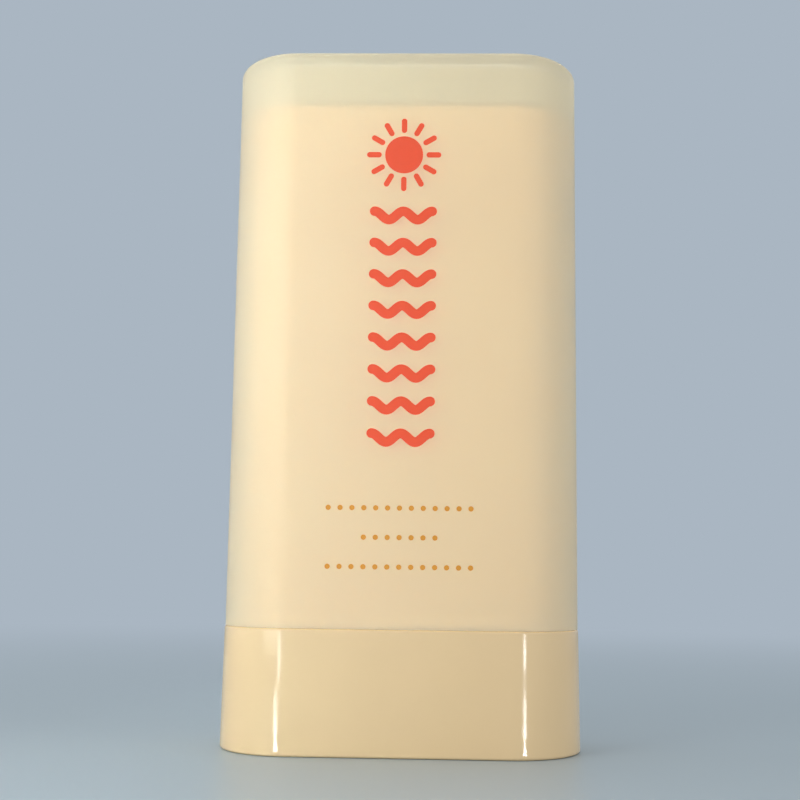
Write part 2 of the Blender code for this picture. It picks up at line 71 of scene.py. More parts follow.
# Drafts, walls and gaps, as the frame's solids have them
END_RUN = 9.55 * MM
BASE_SIDE_DRAFT = 0.3 * MM
BASE_FACE_DRAFT = 0.1 * MM
CAP_SIDE_DRAFT = 0.5 * MM
CAP_FACE_DRAFT = 0.2 * MM
FIT_GAP = 0.3 * MM
CAP_WALL = 1.1 * MM
CAP_ROOF = 1.3 * MM
BASE_WALL = 1.6 * MM
BASE_SHELF = 1.8 * MM
BARREL_WALL = 1.3 * MM
NECK_STEP = 0.8 * MM
BARREL_FLOOR = 1.4 * MM
BARREL_FLOOR_LIFT = 0.4 * MM
LID_WALL = 0.8 * MM
LID_PLUG = 1.5 * MM
LID_DOME = 1.2 * MM
BALM_DOME = 4.4 * MM
BALM_CORE_INSET = 1.3 * MM
CUP_WALL = 1.0 * MM
CUP_RIM = 3.0 * MM
CUP_PLATE = 1.6 * MM
CUP_WEB = 1.3 * MM
STEM_WALL = 1.3 * MM
NUT_LENGTH = 4.0 * MM
PLATE_THICKNESS = 2.4 * MM
PLATE_WALL = 1.2 * MM
PLATE_WALL_REACH = 12.4 * MM

# Radii of rounded edges and inner corners
CROWN_RADIUS = 0.9 * MM
CAP_INNER_RADIUS = 1.0 * MM
CAP_RIM_RADIUS = 0.04 * MM
LIP_RADIUS = 0.3 * MM
FOOT_RADIUS = 0.4 * MM
SOFT_RADIUS = 0.2 * MM
BARREL_RIM_RADIUS = 0.4 * MM
SHOULDER_RADIUS = 0.4 * MM
POCKET_RADIUS = 0.6 * MM

# Snap beads between cap and barrel
BEAD_REACH = 0.2 * MM
BEAD_HALF = 0.7 * MM
BEAD_RISE = 1.6 * MM
BEAD_SPACING = 1.6 * MM

# Seam between cap and base, closed as far as a press of the hand closes it
SEAM_LINE = 0.02 * MM

# Drive thread and the parts on its axis
THREAD_LEAD = 2.8 * MM
THREAD_SENSE = -1
THREAD_ROOT = 2.4 * MM
THREAD_CREST = 3.2 * MM
THREAD_LAND = 0.7 * MM
THREAD_FLANK = 0.35 * MM
THREAD_BREAK = 0.12 * MM
THREAD_PLAY = 0.3 * MM
THREAD_RUNOUT = 0.4 * MM
NUT_PLAY = 0.35 * MM
TIP_CHAMFER = 0.5 * MM
NECK_CLEARANCE = 0.3 * MM
SNAP_HEIGHT = 0.6 * MM
SNAP_GRIP = 0.25 * MM
COLLAR_THICKNESS = 1.0 * MM
DRIVE_SIDE = 3.6 * MM

# Dial
DIAL_BODY = 6.0 * MM
DIAL_FLANGE = 1.2 * MM
DIAL_FLANGE_REACH = 1.4 * MM
DIAL_BOSS_RADIUS = 4.5 * MM
DIAL_RIM_WALL = 1.2 * MM
DIAL_WEB = 1.9 * MM
SCOOP_DEPTH = 4.6 * MM
SCOOP_CORNER = 1.1 * MM
GRIP_BAR = 3.0 * MM

# Print on the cap's front: a sun over waves, and three dotted rules near the seam
INK_LIFT = 0.005 * MM
INK_DEPTH = 0.02 * MM
SUN_Z = 76.6 * MM
SUN_RADIUS = 2.45 * MM
RAY_COUNT = 12
RAY_START = 3.25 * MM
RAY_END = 4.45 * MM
RAY_WIDTH = 0.7 * MM
WAVE_COUNT = 8
WAVE_TOP_Z = 68.6 * MM
WAVE_PITCH = 4.1 * MM
WAVE_WIDTH = 7.4 * MM
WAVE_CRESTS = 2
WAVE_SWING = 0.55 * MM
WAVE_STROKE = 1.25 * MM
RULE_Z = 31.0 * MM
RULE_PITCH = 3.7 * MM
RULE_DOTS = (13, 7, 13)
DOT_RADIUS = 0.33 * MM
DOT_PITCH = 1.5 * MM

# Directions of a fillet
UP = 1
DOWN = -1
INWARD = 1
OUTWARD = -1

# Fineness of curves
FLAT_STEPS = 10
ARC_STEPS = 26
FILLET_STEPS = 6
BEAD_STEPS = 10
DOME_STEPS = 16
DOME_POWER = 2.4
ROUND_STEPS = 96
INK_STEPS = 12
WAVE_STEPS = 48
THREAD_STEPS = 48
SPARE_TURNS = 2
OVERRUN = 1.0 * MM
SHARP_ANGLE = math.radians(32)

# Levels and sections worked out from the frame
BASE_HEIGHT = foot_high.z
FOOT_WIDTH = foot_size.x
FOOT_DEPTH = foot_size.y
FLAT_HALF = FOOT_WIDTH / 2 - END_RUN
LIP_WIDTH = FOOT_WIDTH - 2 * BASE_SIDE_DRAFT
LIP_DEPTH = FOOT_DEPTH - 2 * BASE_FACE_DRAFT
CAP_MOUTH_Z = cap_low.z
TOTAL_HEIGHT = cap_high.z
CAP_CEILING_Z = TOTAL_HEIGHT - CAP_ROOF
MOUTH_WIDTH = cap_size.x
MOUTH_DEPTH = cap_size.y
CROWN_WIDTH = MOUTH_WIDTH - 2 * CAP_SIDE_DRAFT
CROWN_DEPTH = MOUTH_DEPTH - 2 * CAP_FACE_DRAFT
CAP_BEAD_Z = CAP_MOUTH_Z + BEAD_RISE
BARREL_BEAD_Z = CAP_BEAD_Z + BEAD_SPACING
BARREL_WIDTH = lid_size.x
BARREL_DEPTH = lid_size.y
BARREL_TOP_Z = barrel_high.z
BARREL_INSIDE = BARREL_WALL + FIT_GAP
SHELL_INSIDE = BASE_WALL + FIT_GAP
SHELF_Z = BASE_HEIGHT - BASE_SHELF
FLANGE_TOP_Z = SHELF_Z - FIT_GAP
FLOOR_FOOT_Z = FLANGE_TOP_Z + BARREL_FLOOR_LIFT
FLOOR_TOP_Z = FLOOR_FOOT_Z + BARREL_FLOOR
SHOULDER_Z = BASE_HEIGHT + FIT_GAP
WELL_STEP_Z = SHOULDER_Z + BARREL_WALL
STEM_FOOT_Z = cup_low.z
CUP_RIM_Z = cup_high.z
CUP_FLOOR_Z = CUP_RIM_Z - CUP_RIM
CUP_FOOT_Z = CUP_FLOOR_Z - CUP_PLATE
NUT_TOP_Z = STEM_FOOT_Z + NUT_LENGTH
BORE_TOP_Z = CUP_FLOOR_Z - CUP_WEB
SNAP_FOOT_Z = FLOOR_TOP_Z + FIT_GAP
SNAP_TOP_Z = SNAP_FOOT_Z + SNAP_HEIGHT
THREAD_FOOT_Z = SNAP_TOP_Z + THREAD_RUNOUT
THREAD_TOP_Z = screw_high.z - TIP_CHAMFER
COLLAR_TOP_Z = ring_low.z - FIT_GAP
COLLAR_FOOT_Z = COLLAR_TOP_Z - COLLAR_THICKNESS
COLLAR_RADIUS = screw_size.x / 2
RING_SECTION = ring_size.z
RING_RADIUS = ring_size.x / 2 - RING_SECTION / 2
NECK_HOLE_RADIUS = THREAD_ROOT + NECK_CLEARANCE
BORE_RADIUS = THREAD_CREST + 2 * THREAD_PLAY
STEM_RADIUS = BORE_RADIUS + STEM_WALL
DIAL_FLANGE_RADIUS = dial_size.x / 2
DIAL_RADIUS = DIAL_FLANGE_RADIUS - DIAL_FLANGE_REACH
DIAL_HOLE_RADIUS = DIAL_RADIUS + FIT_GAP
DIAL_FOOT_Z = dial_low.z
DIAL_FLANGE_Z = PLATE_THICKNESS + FIT_GAP
SCOOP_RADIUS = DIAL_RADIUS - DIAL_RIM_WALL
SCOOP_TOP_Z = DIAL_FOOT_Z + SCOOP_DEPTH
SOCKET_FOOT_Z = SCOOP_TOP_Z + DIAL_WEB
SOCKET_SIDE = DRIVE_SIDE + 2 * FIT_GAP

# Noise in the finishes: scales per metre, detail, and the band that most of its values fill
DRIFT_SCALE = 90
POLISH_SCALE = 260
DRIFT_DETAIL = 3.0
NOISE_LOW = 0.3
NOISE_HIGH = 0.7

# Translucent plastic and wax
CLEAR_IOR = 1.49
WAX_GLOW = 0.35
WAX_REACH = 1.6 * MM
WAX_REACH_SHARES = (1.0, 0.8, 0.5)

# Camera, found by fitting the photograph's outline: angles in radians, focal length in its pixels
CAMERA_DISTANCE = 206.6 * MM
CAMERA_SIDE = -0.56 * MM
CAMERA_HEIGHT = 23.27 * MM
CAMERA_TURN = -0.0369
CAMERA_TILT = 0.1097
CAMERA_ROLL = 0.0132
CAMERA_NEAR = 0.01
CAMERA_FAR = 20
FOCAL_PIXELS = 1542.1
PICTURE_PIXELS = 800
SENSOR = 36.0

# Lamps: places as (azimuth in degrees, distance, height), levels as shares of a plain white
LAMP_COLOUR = (1.0, 0.98, 0.94)
KEY_PLACE = (-38, 0.17, 0.08)
KEY_SIZE = (0.09, 0.12)
KEY_LEVEL = 0.36
STRIP_PLACE = (-15, 0.35, 0.154)
STRIP_AIM = (-0.030, -0.012, 0.05)
STRIP_SIZE = (0.03, 0.24)
STRIP_LEVEL = 0.0078
STRIP_COLOUR = (0.80, 0.98, 0.97)
STRIP_SPREAD = 11.4
FILL_SIZE = (0.28, 0.28)
FILLS = (
    ("left_fill", (-90, 0.40, 0.20), 0.11),
    ("left_rim", (-120, 0.40, 0.10), 0.10),
    ("front_fill", (60, 0.45, 0.08), 0.25),
    ("top_fill", (180, 0.20, 0.60), 0.107),
)

# Highlights of the base: a bar that stands in front, and tiles (near, far) that lie on the table
GLEAMS = (
    {
        "side": "left",
        "foot": (-14.9 * MM, -12.2 * MM, 0),
        "bar_azimuth": -17.6,
        "tile_azimuth": -23,
        "width_share": 0.11,
        "bar_low": 1 * MM,
        "bar_glow": 9,
        "tile_glows": (24, 15, 9),
    },
    {
        "side": "right",
        "foot": (15.9 * MM, -12.0 * MM, 0),
        "bar_azimuth": 30.4,
        "tile_azimuth": 30.4,
        "width_share": 0.09,
        "bar_low": 11 * MM,
        "bar_glow": 18,
        "tile_glows": (24, 20, 14),
    },
)
BAR_REACH = 255 * MM
BAR_TOP = 40 * MM
TILES = ((1.5 * MM, 15 * MM), (15 * MM, 50 * MM), (50 * MM, 140 * MM))
TILE_LIFT = 0.3 * MM

# Table and backdrop, with colours as written on screen
BACKDROP = (170, 182, 194)
TABLE = (172, 187, 196)
TABLE_ROUGHNESS = 0.40
TABLE_SHEEN = 0.40
SKY_LEVEL = 0.56
FLOOR_RADIUS = 6.0
FLOOR_DROP = 0.02 * MM
FADE_START = 0.06
FADE_END = 0.45


def srgb(red, green, blue):
    """A colour as written on screen, 0 to 255, turned into linear values."""
    out = []
    for value in (red, green, blue):
        share = value / 255
        out.append(share / 12.92 if share <= 0.04045 else ((share + 0.055) / 1.055) ** 2.4)
    return (*out, 1.0)


# Sections


def between(low, high, share):
    return low + (high - low) * share


def oval(width, depth, z, inset=0.0, share=1.0):
    """One flat oval ring, drawn in by an inset and then scaled by a share of its size."""
    end = width / 2 - inset - FLAT_HALF
    half_depth = depth / 2 - inset
    points = []
    for side in (1, -1):
        for step in range(2 * ARC_STEPS + 1):
            angle = math.pi / 2 * (step / ARC_STEPS - 1)
            points.append((side * (FLAT_HALF + end * math.cos(angle)), side * half_depth * math.sin(angle)))
        for step in range(1, FLAT_STEPS):
            points.append((side * between(FLAT_HALF, -FLAT_HALF, step / FLAT_STEPS), side * half_depth))
    return [(x * share, y * share, z) for x, y in points]


def circle(radius, z):
    """A round ring with as many points as an oval."""
    count = 2 * (2 * ARC_STEPS + FLAT_STEPS)
    points = []
    for step in range(count):
        angle = 2 * math.pi * step / count - math.pi / 2
        points.append((radius * math.cos(angle), radius * math.sin(angle), z))
    return points


def base_ring(z, inset=0.0):
    """A ring of the base's outside, which narrows from foot to lip."""
    share = z / BASE_HEIGHT
    width = between(FOOT_WIDTH, LIP_WIDTH, share)
    depth = between(FOOT_DEPTH, LIP_DEPTH, share)
    return oval(width, depth, z, inset)


def cap_share(z):
    """How far up the cap a height is: 0 at its mouth, 1 at its crown."""
    return (z - CAP_MOUTH_Z) / (TOTAL_HEIGHT - CAP_MOUTH_Z)


def cap_ring(z, inset=0.0):
    """A ring of the cap's outside, which narrows from mouth to crown."""
    width = between(MOUTH_WIDTH, CROWN_WIDTH, cap_share(z))
    depth = between(MOUTH_DEPTH, CROWN_DEPTH, cap_share(z))
    return oval(width, depth, z, inset)


def barrel_ring(z, inset=0.0):
    """A ring of the barrel's outside, which is upright."""
    return oval(BARREL_WIDTH, BARREL_DEPTH, z, inset)


def neck_ring(z, inset=0.0):
    """The barrel's narrower neck, which stands in the base's shelf."""
    return barrel_ring(z, NECK_STEP + inset)


def fillet(ring, z, inset, radius, rise, turn_in):
    """Rings round a quarter arc, from the wall to the level face that meets it at (inset, z).

    rise: UP where the wall runs up to the corner and DOWN where it runs down to it.
    turn_in: INWARD where the level face runs towards a larger inset, OUTWARD towards a smaller one.
    """
    rings = []
    for step in range(FILLET_STEPS + 1):
        angle = math.pi / 2 * step / FILLET_STEPS
        along = z - rise * radius * (1 - math.sin(angle))
        across = inset + turn_in * radius * (1 - math.cos(angle))
        rings.append(ring(along, across))
    return rings


def bead(ring, z, inset, reach):
    """Rings over a rounded snap bead about height z, from its upper end to its lower one."""
    rings = []
    for step in range(BEAD_STEPS + 1):
        place = 1 - 2 * step / BEAD_STEPS
        swell = reach * (1 + math.cos(math.pi * place)) / 2
        rings.append(ring(z + BEAD_HALF * place, inset + swell))
    return rings


def dome(inset, foot, rise):
    """Rings that rise from an inset of the barrel's oval to a small flat at the top of a low dome."""
    rings = []
    for step in range(DOME_STEPS):
        angle = math.pi / 2 * step / DOME_STEPS
        share = math.cos(angle) ** (2 / DOME_POWER)
        height = rise * math.sin(angle) ** (2 / DOME_POWER)
        rings.append(oval(BARREL_WIDTH, BARREL_DEPTH, foot + height, inset, share))
    return rings


# Meshes


def smooth(mesh):
    """Shade a mesh smooth and keep its real edges sharp."""
    mesh.shade_smooth()
    mesh.set_sharp_from_angle(angle=SHARP_ANGLE)


def new_piece(name, form):
    """An object from a finished bmesh."""
    bmesh.ops.recalc_face_normals(form, faces=form.faces)
    mesh = bpy.data.meshes.new(name)
    form.to_mesh(mesh)
    form.free()
    smooth(mesh)
    piece = bpy.data.objects.new(name, mesh)
    bpy.context.scene.collection.objects.link(piece)
    return piece


def skin(form, first, second):
    """A band of faces between two rings of vertices."""
    for here in range(len(first)):
        after = (here + 1) % len(first)
        form.faces.new((first[here], first[after], second[after], second[here]))


def loft(name, rings, closed=False):
    """Skin a stack of rings; a closed stack runs back to its first ring, an open one is capped."""
    form = bmesh.new()
    loops = [[form.verts.new(point) for point in ring] for ring in rings]
    for lower, upper in zip(loops, loops[1:]):
        skin(form, lower, upper)
    if closed:
        skin(form, loops[-1], loops[0])
    else:
        form.faces.new(loops[0][::-1])
        form.faces.new(loops[-1])
    return new_piece(name, form)


def turned(name, profile, closed=False):
    """A solid turned about Z from a profile of (radius, height), as loft closes or caps it."""
    rings = []
    for radius, z in profile:
        angles = [2 * math.pi * step / ROUND_STEPS for step in range(ROUND_STEPS)]
        rings.append([(radius * math.cos(angle), radius * math.sin(angle), z) for angle in angles])
    return loft(name, rings, closed)


def softened(corners):
    """A profile of (radius, height) points from corners of (radius, height, edge radius)."""
    profile = []
    for here, (across, z, edge) in enumerate(corners):
        corner = Vector((across, z))
        if edge == 0 or here in (0, len(corners) - 1):
            profile.append((across, z))
            continue
        back = (Vector(corners[here - 1][:2]) - corner).normalized()
        ahead = (Vector(corners[here + 1][:2]) - corner).normalized()
        half = back.angle(ahead) / 2
        centre = corner + (back + ahead).normalized() * edge / math.sin(half)
        start = corner + back * edge / math.tan(half) - centre
        end = corner + ahead * edge / math.tan(half) - centre
        for step in range(FILLET_STEPS + 1):
            point = centre + edge * start.slerp(end, step / FILLET_STEPS).normalized()
            profile.append((point.x, point.y))
    return profile


def cut(piece, tool, operation="DIFFERENCE"):
    """Cut a piece by a tool, or join them, apply the result and remove the tool."""
    step = piece.modifiers.new("cut", "BOOLEAN")
    step.operation = operation
    step.object = tool
    step.solver = "EXACT"
    bpy.context.view_layer.update()
    made = bpy.data.meshes.new_from_object(piece.evaluated_get(bpy.context.evaluated_depsgraph_get()))
    piece.modifiers.clear()
    piece.data = made
    smooth(made)
    bpy.data.objects.remove(tool, do_unlink=True)


def square_bar(name, side, low, high, edge):
    """An upright square bar with rounded corners."""
    reach = side / 2 - edge
    outline = []
    for quarter in range(4):
        middle = math.pi / 4 + math.pi / 2 * quarter
        centre = (math.copysign(reach, math.cos(middle)), math.copysign(reach, math.sin(middle)))
        for step in range(FILLET_STEPS + 1):
            angle = math.pi / 2 * (quarter + step / FILLET_STEPS)
            outline.append((centre[0] + edge * math.cos(angle), centre[1] + edge * math.sin(angle)))
    return loft(name, [[(x, y, z) for x, y in outline] for z in (low, high)])


def threaded(name, below, low, high, above, root, crest, land):
    """A threaded rod about Z: plain rings below, a helical tooth from low to high, plain rings above.

    The tooth's rows follow the helix; where a row runs past an end it closes into that end's ring.
    below and above are lists of (radius, height) from the thread outwards.
    """
    foot_out = land / 2 + THREAD_FLANK
    crest_out = land / 2 - THREAD_BREAK
    offsets = (-foot_out, -land / 2, -crest_out, crest_out, land / 2, foot_out)
    radii = (root, crest - THREAD_BREAK, crest, crest, crest - THREAD_BREAK, root)
    rows_per_turn = len(offsets)
    form = bmesh.new()

    def spin(radius, z, step):
        angle = 2 * math.pi * step / THREAD_STEPS
        return form.verts.new((radius * math.cos(angle), radius * math.sin(angle), z))

    def plain_ring(radius, z):
        return [spin(radius, z, step) for step in range(THREAD_STEPS)]

    foot = plain_ring(root, low)
    head = plain_ring(root, high)
    made = {}

    def helix_vertex(row, step):
        if step == THREAD_STEPS:
            row, step = row + THREAD_SENSE * rows_per_turn, 0
        turn, place = divmod(row, rows_per_turn)
        climb = turn + THREAD_SENSE * step / THREAD_STEPS
        z = STEM_FOOT_Z + THREAD_LEAD * climb + offsets[place]
        if z <= low:
            return foot[step]
        if z >= high:
            return head[step]
        if (row, step) not in made:
            made[row, step] = spin(radii[place], z, step)
        return made[row, step]

    first = rows_per_turn * (math.floor((low - STEM_FOOT_Z) / THREAD_LEAD) - SPARE_TURNS)
    last = rows_per_turn * (math.ceil((high - STEM_FOOT_Z) / THREAD_LEAD) + SPARE_TURNS)
    for row in range(first, last):
        for step in range(THREAD_STEPS):
            corners = (
                helix_vertex(row, step),
                helix_vertex(row, step + 1),
                helix_vertex(row + 1, step + 1),
                helix_vertex(row + 1, step),
            )
            face = list(dict.fromkeys(corners))
            if len(face) > 2:
                form.faces.new(face)

    for start, rings in ((foot, below), (head, above)):
        previous = start
        for radius, z in rings:
            ring = plain_ring(radius, z)
            skin(form, previous, ring)
            previous = ring
        form.faces.new(previous)
    return new_piece(name, form)


# Pieces


def make_overcap():
    """Frosted cap: a flat oval cup with a soft crown edge and a snap bead round the inside of its mouth."""
    mouth_z = BASE_HEIGHT + SEAM_LINE
    rings = fillet(cap_ring, CAP_CEILING_Z, CAP_WALL, CAP_INNER_RADIUS, UP, INWARD)[::-1]
    rings += bead(cap_ring, CAP_BEAD_Z, CAP_WALL, BEAD_REACH)
    rings += fillet(cap_ring, mouth_z, CAP_WALL, CAP_RIM_RADIUS, DOWN, OUTWARD)
    rings += fillet(cap_ring, mouth_z, 0, CAP_RIM_RADIUS, DOWN, INWARD)[::-1]
    rings += fillet(cap_ring, TOTAL_HEIGHT, 0, CROWN_RADIUS, UP, INWARD)
    return loft("frosted_overcap", rings)


def make_inner_lid():
    """Thin lid on the barrel's rim, with a plug inside its mouth and a low crown over the balm."""
    plug_foot = BARREL_TOP_Z - LID_PLUG
    flange_z = BARREL_TOP_Z + FIT_GAP
    flange_top = flange_z + LID_WALL
    rings = dome(BARREL_INSIDE + LID_WALL, flange_z, LID_DOME)[::-1]
    rings += fillet(barrel_ring, plug_foot, BARREL_INSIDE + LID_WALL, SOFT_RADIUS, DOWN, OUTWARD)
    rings += fillet(barrel_ring, plug_foot, BARREL_INSIDE, SOFT_RADIUS, DOWN, INWARD)[::-1]
    rings.append(barrel_ring(flange_z, BARREL_INSIDE))
    rings += fillet(barrel_ring, flange_z, 0, SOFT_RADIUS, DOWN, INWARD)[::-1]
    rings += fillet(barrel_ring, flange_top, 0, SOFT_RADIUS, UP, INWARD)
    rings += dome(BARREL_INSIDE, flange_top, LID_DOME)
    return loft("thin_inner_lid", rings)


def make_balm():
    """Block of balm with a low dome on top; its foot sits in the carrier's cup."""
    core_inset = BARREL_INSIDE + BALM_CORE_INSET
    shoulder = CUP_RIM_Z + FIT_GAP
    rings = [barrel_ring(balm_low.z, core_inset), barrel_ring(shoulder, core_inset)]
    rings += fillet(barrel_ring, shoulder, BARREL_INSIDE, SOFT_RADIUS, DOWN, INWARD)[::-1]
    rings += dome(BARREL_INSIDE, balm_high.z - BALM_DOME, BALM_DOME)
    return loft("balm_block", rings)


def make_carrier():
    """Elevator cup on a hollow stem, whose lower end is the nut that climbs the spindle."""
    rings = [barrel_ring(CUP_FLOOR_Z, BARREL_INSIDE + CUP_WALL)]
    rings += fillet(barrel_ring, CUP_RIM_Z, BARREL_INSIDE + CUP_WALL, SOFT_RADIUS, UP, OUTWARD)
    rings += fillet(barrel_ring, CUP_RIM_Z, BARREL_INSIDE, SOFT_RADIUS, UP, INWARD)[::-1]
    rings += fillet(barrel_ring, CUP_FOOT_Z, BARREL_INSIDE, SOFT_RADIUS, DOWN, INWARD)
    rings += [circle(STEM_RADIUS, CUP_FOOT_Z), circle(STEM_RADIUS, STEM_FOOT_Z)]
    carrier = loft("elevator_cup", rings)
    low = STEM_FOOT_Z - OVERRUN
    high = NUT_TOP_Z + OVERRUN
    root = THREAD_ROOT + NUT_PLAY
    crest = THREAD_CREST + THREAD_PLAY
    land = THREAD_LAND + 2 * THREAD_PLAY
    below = [(root, low - OVERRUN)]
    above = [(root, high + OVERRUN)]
    cut(carrier, threaded("nut_cut", below, low, high, above, root, crest, land))
    cut(carrier, turned("bore_cut", [(BORE_RADIUS, NUT_TOP_Z), (BORE_RADIUS, BORE_TOP_Z)]))
    return carrier


def make_barrel():
    """Inner body: an oval tube whose shoulder sits on the base, with a neck and a flange below."""
    rings = [neck_ring(FLOOR_TOP_Z, BARREL_WALL)]
    rings += [neck_ring(WELL_STEP_Z, BARREL_WALL), barrel_ring(WELL_STEP_Z, BARREL_WALL)]
    rings += fillet(barrel_ring, BARREL_TOP_Z, BARREL_WALL, BARREL_RIM_RADIUS, UP, OUTWARD)
    rings += fillet(barrel_ring, BARREL_TOP_Z, 0, BARREL_RIM_RADIUS, UP, INWARD)[::-1]
    rings += bead(barrel_ring, BARREL_BEAD_Z, 0, -BEAD_REACH)
    rings += fillet(barrel_ring, SHOULDER_Z, 0, SHOULDER_RADIUS, DOWN, INWARD)
    rings += [neck_ring(SHOULDER_Z), neck_ring(FLANGE_TOP_Z)]
    rings += fillet(base_ring, FLANGE_TOP_Z, SHELL_INSIDE, SOFT_RADIUS, UP, INWARD)[::-1]
    rings += fillet(base_ring, barrel_low.z, SHELL_INSIDE, SOFT_RADIUS, DOWN, INWARD)
    rings += [neck_ring(barrel_low.z, BARREL_WALL), neck_ring(FLOOR_FOOT_Z, BARREL_WALL)]
    barrel = loft("inner_barrel", rings)
    cut(barrel, turned("neck_cut", [
        (NECK_HOLE_RADIUS, FLOOR_FOOT_Z - OVERRUN),
        (NECK_HOLE_RADIUS, FLOOR_TOP_Z + OVERRUN),
    ]))
    return barrel


def make_spindle():
    """Drive screw: square drive, collar, neck through the barrel's floor, snap bead and thread."""
    snap_radius = NECK_HOLE_RADIUS + SNAP_GRIP
    below = [
        (THREAD_ROOT, SNAP_TOP_Z),
        (snap_radius, SNAP_FOOT_Z + SNAP_HEIGHT / 2),
        (snap_radius, SNAP_FOOT_Z),
        (THREAD_ROOT, SNAP_FOOT_Z),
        (THREAD_ROOT, COLLAR_TOP_Z),
        (COLLAR_RADIUS - SOFT_RADIUS, COLLAR_TOP_Z),
        (COLLAR_RADIUS, COLLAR_TOP_Z - SOFT_RADIUS),
        (COLLAR_RADIUS, COLLAR_FOOT_Z + SOFT_RADIUS),
        (COLLAR_RADIUS - SOFT_RADIUS, COLLAR_FOOT_Z),
    ]
    above = [(THREAD_ROOT - TIP_CHAMFER, screw_high.z)]
    spindle = threaded(
        "drive_spindle", below, THREAD_FOOT_Z, THREAD_TOP_Z, above, THREAD_ROOT, THREAD_CREST, THREAD_LAND
    )
    drive_top = COLLAR_FOOT_Z + COLLAR_THICKNESS / 2
    cut(spindle, square_bar("drive", DRIVE_SIDE, screw_low.z, drive_top, SOFT_RADIUS), "UNION")
    return spindle


def make_friction_ring():
    """Rubber ring round the spindle's neck."""
    middle = (ring_low.z + ring_high.z) / 2
    section = RING_SECTION / 2
    profile = []
    for step in range(2 * ARC_STEPS):
        angle = math.pi * step / ARC_STEPS
        profile.append((RING_RADIUS + section * math.cos(angle), middle + section * math.sin(angle)))
    return turned("rubber_ring", profile, closed=True)


def scoop_ring(side, z, shrink):
    """A half moon beside the grip bar with rounded corners, drawn in by shrink from its mouth's size."""
    lift = GRIP_BAR / 2 + SCOOP_CORNER
    reach = math.sqrt((SCOOP_RADIUS - SCOOP_CORNER) ** 2 - lift ** 2)
    lean = math.atan2(lift, reach)
    radius = SCOOP_RADIUS - shrink
    corner = SCOOP_CORNER - shrink
    outline = []
    for step in range(2 * ARC_STEPS + 1):
        angle = between(lean, math.pi - lean, step / (2 * ARC_STEPS))
        outline.append((radius * math.cos(angle), radius * math.sin(angle)))
    for step in range(1, FILLET_STEPS + 1):
        angle = between(math.pi - lean, 1.5 * math.pi, step / FILLET_STEPS)
        outline.append((-reach + corner * math.cos(angle), lift + corner * math.sin(angle)))
    for step in range(FILLET_STEPS):
        angle = between(-0.5 * math.pi, lean, step / FILLET_STEPS)
        outline.append((reach + corner * math.cos(angle), lift + corner * math.sin(angle)))
    return [(x, side * y, z) for x, y in outline]


def scoop_cut(side):
    """Cutter for one finger scoop: flared at the mouth, rounded where the wall meets the floor.

    The flare starts half a step below the dial's foot, so that none of its rings lies in the foot's plane.
    """
    rings = [scoop_ring(side, DIAL_FOOT_Z - OVERRUN, -SOFT_RADIUS)]
    for step in range(FILLET_STEPS + 1):
        angle = math.pi / 2 * (step - 0.5) / (FILLET_STEPS - 0.5)
        z = DIAL_FOOT_Z + SOFT_RADIUS * math.sin(angle)
        rings.append(scoop_ring(side, z, -SOFT_RADIUS * math.cos(angle)))
    for step in range(FILLET_STEPS + 1):
        angle = math.pi / 2 * step / FILLET_STEPS
        z = SCOOP_TOP_Z - POCKET_RADIUS * (1 - math.sin(angle))
        rings.append(scoop_ring(side, z, POCKET_RADIUS * (1 - math.cos(angle))))
    return loft("scoop_cut", rings)


def make_dial():
    """Twist dial: a flanged drum with two finger scoops below and a square socket above."""
    top_z = DIAL_FOOT_Z + DIAL_BODY
    flange_top = DIAL_FLANGE_Z + DIAL_FLANGE
    hub = DIAL_BOSS_RADIUS / 2
    profile = softened([
        (hub, dial_high.z, 0),
        (DIAL_BOSS_RADIUS, dial_high.z, SOFT_RADIUS),
        (DIAL_BOSS_RADIUS, top_z, SOFT_RADIUS),
        (DIAL_RADIUS, top_z, SOFT_RADIUS),
        (DIAL_RADIUS, flange_top, SOFT_RADIUS),
        (DIAL_FLANGE_RADIUS, flange_top, SOFT_RADIUS),
        (DIAL_FLANGE_RADIUS, DIAL_FLANGE_Z, SOFT_RADIUS),
        (DIAL_RADIUS, DIAL_FLANGE_Z, 0),
        (DIAL_RADIUS, DIAL_FOOT_Z, FOOT_RADIUS),
        (hub, DIAL_FOOT_Z, 0),
    ])
    dial = turned("twist_dial", profile)
    for side in (1, -1):
        cut(dial, scoop_cut(side))
    cut(dial, square_bar("socket_cut", SOCKET_SIDE, SOCKET_FOOT_Z, dial_high.z + OVERRUN, SOFT_RADIUS))
    return dial


def make_base_shell():
    """Glossy collar: an oval skirt, open below, with a shelf that the barrel's neck stands through."""
    rings = fillet(base_ring, 0, 0, FOOT_RADIUS, DOWN, INWARD)[::-1]
    rings += fillet(base_ring, BASE_HEIGHT, 0, LIP_RADIUS, UP, INWARD)
    rings += fillet(neck_ring, BASE_HEIGHT, -FIT_GAP, SOFT_RADIUS, UP, OUTWARD)[::-1]
    rings += fillet(neck_ring, SHELF_Z, -FIT_GAP, SOFT_RADIUS, DOWN, OUTWARD)
    rings += [base_ring(SHELF_Z, BASE_WALL)]
    rings += fillet(base_ring, 0, BASE_WALL, SOFT_RADIUS, DOWN, OUTWARD)
    return loft("glossy_base", rings, closed=True)


